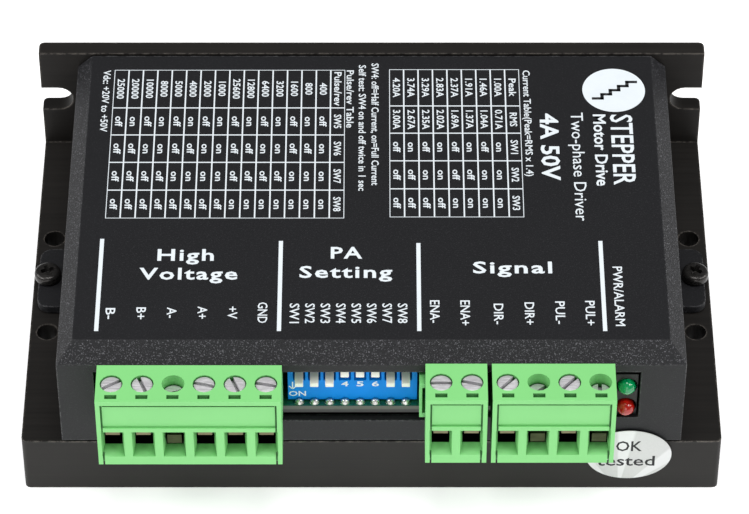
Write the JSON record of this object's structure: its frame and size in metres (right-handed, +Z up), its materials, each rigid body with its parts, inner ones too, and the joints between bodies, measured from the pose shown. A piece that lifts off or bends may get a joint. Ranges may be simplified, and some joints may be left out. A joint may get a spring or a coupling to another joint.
{
  "type": "stepper driver module",
  "caption": "Flat black stepper motor driver on a finned heatsink, with a sheet cover, green pluggable screw terminals, a piano switch and status lamps along one side.",
  "frame": {"origin": "centre of the heatsink's underside", "axes": "+X along the length, -Y towards the connector side, +Z up from the heatsink's underside"},
  "size_m": [0.118, 0.0842, 0.0335],
  "materials": {
    "heatsink": "black anodised, satin, with bright cut edges",
    "cover": "fine textured black powder coat",
    "cover_screw": "black oxide",
    "board_screw": "zinc plated",
    "board_spacer": "nickel plated",
    "circuit_board": "green solder mask",
    "header": "light green moulded",
    "plug": "light green moulded",
    "terminal_screw": "bright zinc plate",
    "wire_clamp": "nickel plated",
    "switch_body": "blue moulded",
    "switch_lever": "white moulded",
    "lamp_green": "clear tinted green",
    "lamp_red": "clear tinted red",
    "lamp_holder": "dark grey moulded",
    "inspection_label": "silvery foil paper",
    "thermal_pad": "grey silicone",
    "chip": "black epoxy",
    "capacitor": "dark shrink sleeve"
  },
  "bodies": {
    "root": {"heatsink": "heatsink", "cover": "cover", "cover_screw_left": "cover_screw", "cover_screw_right": "cover_screw", "board_screw_front_left": "board_screw", "board_screw_front_right": "board_screw", "board_screw_rear_left": "board_screw", "board_screw_rear_right": "board_screw", "board_spacer_front_left": "board_spacer", "board_spacer_front_right": "board_spacer", "board_spacer_rear_left": "board_spacer", "board_spacer_rear_right": "board_spacer", "circuit_board": "circuit_board", "power_header": "header", "enable_header": "header", "pulse_header": "header", "switch_body": "switch_body", "lamp_green": "lamp_green", "lamp_red": "lamp_red", "lamp_holder": "lamp_holder", "inspection_label": "inspection_label", "thermal_pad": "thermal_pad", "bridge_chip": "chip", "controller_chip": "chip", "bulk_capacitor": "capacitor"},
    "power_plug": {"power_plug": "plug"},
    "power_clamp_1": {"power_clamp_1": "wire_clamp"},
    "power_screw_1": {"power_screw_1": "terminal_screw"},
    "power_clamp_2": {"power_clamp_2": "wire_clamp"},
    "power_screw_2": {"power_screw_2": "terminal_screw"},
    "power_clamp_3": {"power_clamp_3": "wire_clamp"},
    "power_screw_3": {"power_screw_3": "terminal_screw"},
    "power_clamp_4": {"power_clamp_4": "wire_clamp"},
    "power_screw_4": {"power_screw_4": "terminal_screw"},
    "power_clamp_5": {"power_clamp_5": "wire_clamp"},
    "power_screw_5": {"power_screw_5": "terminal_screw"},
    "power_clamp_6": {"power_clamp_6": "wire_clamp"},
    "power_screw_6": {"power_screw_6": "terminal_screw"},
    "enable_plug": {"enable_plug": "plug"},
    "enable_clamp_1": {"enable_clamp_1": "wire_clamp"},
    "enable_screw_1": {"enable_screw_1": "terminal_screw"},
    "enable_clamp_2": {"enable_clamp_2": "wire_clamp"},
    "enable_screw_2": {"enable_screw_2": "terminal_screw"},
    "pulse_plug": {"pulse_plug": "plug"},
    "pulse_clamp_1": {"pulse_clamp_1": "wire_clamp"},
    "pulse_screw_1": {"pulse_screw_1": "terminal_screw"},
    "pulse_clamp_2": {"pulse_clamp_2": "wire_clamp"},
    "pulse_screw_2": {"pulse_screw_2": "terminal_screw"},
    "pulse_clamp_3": {"pulse_clamp_3": "wire_clamp"},
    "pulse_screw_3": {"pulse_screw_3": "terminal_screw"},
    "pulse_clamp_4": {"pulse_clamp_4": "wire_clamp"},
    "pulse_screw_4": {"pulse_screw_4": "terminal_screw"},
    "switch_lever_1": {"switch_lever_1": "switch_lever"},
    "switch_lever_2": {"switch_lever_2": "switch_lever"},
    "switch_lever_3": {"switch_lever_3": "switch_lever"},
    "switch_lever_4": {"switch_lever_4": "switch_lever"},
    "switch_lever_5": {"switch_lever_5": "switch_lever"},
    "switch_lever_6": {"switch_lever_6": "switch_lever"},
    "switch_lever_7": {"switch_lever_7": "switch_lever"},
    "switch_lever_8": {"switch_lever_8": "switch_lever"}
  },
  "joints": [
    {"name": "power_plug_slide", "type": "slide", "parent": "root", "child": "power_plug", "axis": [0, -1, 0], "range_m": [0, 0.016]},
    {"name": "power_clamp_1_slide", "type": "slide", "parent": "power_plug", "child": "power_clamp_1", "axis": [0, 0, -1], "range_m": [0, 0.0021]},
    {"name": "power_screw_1_turn", "type": "hinge", "parent": "power_clamp_1", "child": "power_screw_1", "pos_m": [-0.0427, -0.0425, 0.0312], "axis": [0, 0, -1], "range_deg": [0, 1440]},
    {"name": "power_clamp_2_slide", "type": "slide", "parent": "power_plug", "child": "power_clamp_2", "axis": [0, 0, -1], "range_m": [0, 0.0021]},
    {"name": "power_screw_2_turn", "type": "hinge", "parent": "power_clamp_2", "child": "power_screw_2", "pos_m": [-0.03762, -0.0425, 0.0312], "axis": [0, 0, -1], "range_deg": [0, 1440]},
    {"name": "power_clamp_3_slide", "type": "slide", "parent": "power_plug", "child": "power_clamp_3", "axis": [0, 0, -1], "range_m": [-0.0021, 0]},
    {"name": "power_screw_3_turn", "type": "hinge", "parent": "power_clamp_3", "child": "power_screw_3", "pos_m": [-0.03254, -0.0425, 0.0292], "axis": [0, 0, -1], "range_deg": [-1440, 0]},
    {"name": "power_clamp_4_slide", "type": "slide", "parent": "power_plug", "child": "power_clamp_4", "axis": [0, 0, -1], "range_m": [0, 0.0021]},
    {"name": "power_screw_4_turn", "type": "hinge", "parent": "power_clamp_4", "child": "power_screw_4", "pos_m": [-0.02746, -0.0425, 0.0312], "axis": [0, 0, -1], "range_deg": [0, 1440]},
    {"name": "power_clamp_5_slide", "type": "slide", "parent": "power_plug", "child": "power_clamp_5", "axis": [0, 0, -1], "range_m": [0, 0.0021]},
    {"name": "power_screw_5_turn", "type": "hinge", "parent": "power_clamp_5", "child": "power_screw_5", "pos_m": [-0.02238, -0.0425, 0.0312], "axis": [0, 0, -1], "range_deg": [0, 1440]},
    {"name": "power_clamp_6_slide", "type": "slide", "parent": "power_plug", "child": "power_clamp_6", "axis": [0, 0, -1], "range_m": [0, 0.0021]},
    {"name": "power_screw_6_turn", "type": "hinge", "parent": "power_clamp_6", "child": "power_screw_6", "pos_m": [-0.0173, -0.0425, 0.0312], "axis": [0, 0, -1], "range_deg": [0, 1440]},
    {"name": "enable_plug_slide", "type": "slide", "parent": "root", "child": "enable_plug", "axis": [0, -1, 0], "range_m": [0, 0.016]},
    {"name": "enable_clamp_1_slide", "type": "slide", "parent": "enable_plug", "child": "enable_clamp_1", "axis": [0, 0, -1], "range_m": [0, 0.0021]},
    {"name": "enable_screw_1_turn", "type": "hinge", "parent": "enable_clamp_1", "child": "enable_screw_1", "pos_m": [0.01146, -0.04215, 0.0312], "axis": [0, 0, -1], "range_deg": [0, 1440]},
    {"name": "enable_clamp_2_slide", "type": "slide", "parent": "enable_plug", "child": "enable_clamp_2", "axis": [0, 0, -1], "range_m": [0, 0.0021]},
    {"name": "enable_screw_2_turn", "type": "hinge", "parent": "enable_clamp_2", "child": "enable_screw_2", "pos_m": [0.01654, -0.04215, 0.0312], "axis": [0, 0, -1], "range_deg": [0, 1440]},
    {"name": "pulse_plug_slide", "type": "slide", "parent": "root", "child": "pulse_plug", "axis": [0, -1, 0], "range_m": [0, 0.016]},
    {"name": "pulse_clamp_1_slide", "type": "slide", "parent": "pulse_plug", "child": "pulse_clamp_1", "axis": [0, 0, -1], "range_m": [0, 0.0021]},
    {"name": "pulse_screw_1_turn", "type": "hinge", "parent": "pulse_clamp_1", "child": "pulse_screw_1", "pos_m": [0.02241, -0.04215, 0.0312], "axis": [0, 0, -1], "range_deg": [0, 1440]},
    {"name": "pulse_clamp_2_slide", "type": "slide", "parent": "pulse_plug", "child": "pulse_clamp_2", "axis": [0, 0, -1], "range_m": [-0.0021, 0]},
    {"name": "pulse_screw_2_turn", "type": "hinge", "parent": "pulse_clamp_2", "child": "pulse_screw_2", "pos_m": [0.02749, -0.04215, 0.0292], "axis": [0, 0, -1], "range_deg": [-1440, 0]},
    {"name": "pulse_clamp_3_slide", "type": "slide", "parent": "pulse_plug", "child": "pulse_clamp_3", "axis": [0, 0, -1], "range_m": [0, 0.0021]},
    {"name": "pulse_screw_3_turn", "type": "hinge", "parent": "pulse_clamp_3", "child": "pulse_screw_3", "pos_m": [0.03257, -0.04215, 0.0312], "axis": [0, 0, -1], "range_deg": [0, 1440]},
    {"name": "pulse_clamp_4_slide", "type": "slide", "parent": "pulse_plug", "child": "pulse_clamp_4", "axis": [0, 0, -1], "range_m": [-0.0021, 0]},
    {"name": "pulse_screw_4_turn", "type": "hinge", "parent": "pulse_clamp_4", "child": "pulse_screw_4", "pos_m": [0.03765, -0.04215, 0.0292], "axis": [0, 0, -1], "range_deg": [-1440, 0]},
    {"name": "switch_lever_1_tilt", "type": "hinge", "parent": "root", "child": "switch_lever_1", "pos_m": [-0.01204, -0.03275, 0.02665], "axis": [1, 0, 0], "range_deg": [-33, 0]},
    {"name": "switch_lever_2_tilt", "type": "hinge", "parent": "root", "child": "switch_lever_2", "pos_m": [-0.0095, -0.03275, 0.02665], "axis": [1, 0, 0], "range_deg": [-33, 0]},
    {"name": "switch_lever_3_tilt", "type": "hinge", "parent": "root", "child": "switch_lever_3", "pos_m": [-0.00696, -0.03275, 0.02665], "axis": [1, 0, 0], "range_deg": [-33, 0]},
    {"name": "switch_lever_4_tilt", "type": "hinge", "parent": "root", "child": "switch_lever_4", "pos_m": [-0.00442, -0.03275, 0.02665], "axis": [1, 0, 0], "range_deg": [0, 33]},
    {"name": "switch_lever_5_tilt", "type": "hinge", "parent": "root", "child": "switch_lever_5", "pos_m": [-0.00188, -0.03275, 0.02665], "axis": [1, 0, 0], "range_deg": [0, 33]},
    {"name": "switch_lever_6_tilt", "type": "hinge", "parent": "root", "child": "switch_lever_6", "pos_m": [0.00066, -0.03275, 0.02665], "axis": [1, 0, 0], "range_deg": [0, 33]},
    {"name": "switch_lever_7_tilt", "type": "hinge", "parent": "root", "child": "switch_lever_7", "pos_m": [0.0032, -0.03275, 0.02665], "axis": [1, 0, 0], "range_deg": [-33, 0]},
    {"name": "switch_lever_8_tilt", "type": "hinge", "parent": "root", "child": "switch_lever_8", "pos_m": [0.00574, -0.03275, 0.02665], "axis": [1, 0, 0], "range_deg": [-33, 0]}
  ],
  "couplings": [
    {"joint": "power_clamp_1_slide", "follows": "power_screw_1_turn", "m_per_rad": 0.000079577},
    {"joint": "power_clamp_2_slide", "follows": "power_screw_2_turn", "m_per_rad": 0.000079577},
    {"joint": "power_clamp_3_slide", "follows": "power_screw_3_turn", "m_per_rad": 0.000079577},
    {"joint": "power_clamp_4_slide", "follows": "power_screw_4_turn", "m_per_rad": 0.000079577},
    {"joint": "power_clamp_5_slide", "follows": "power_screw_5_turn", "m_per_rad": 0.000079577},
    {"joint": "power_clamp_6_slide", "follows": "power_screw_6_turn", "m_per_rad": 0.000079577},
    {"joint": "enable_clamp_1_slide", "follows": "enable_screw_1_turn", "m_per_rad": 0.000079577},
    {"joint": "enable_clamp_2_slide", "follows": "enable_screw_2_turn", "m_per_rad": 0.000079577},
    {"joint": "pulse_clamp_1_slide", "follows": "pulse_screw_1_turn", "m_per_rad": 0.000079577},
    {"joint": "pulse_clamp_2_slide", "follows": "pulse_screw_2_turn", "m_per_rad": 0.000079577},
    {"joint": "pulse_clamp_3_slide", "follows": "pulse_screw_3_turn", "m_per_rad": 0.000079577},
    {"joint": "pulse_clamp_4_slide", "follows": "pulse_screw_4_turn", "m_per_rad": 0.000079577}
  ]
}
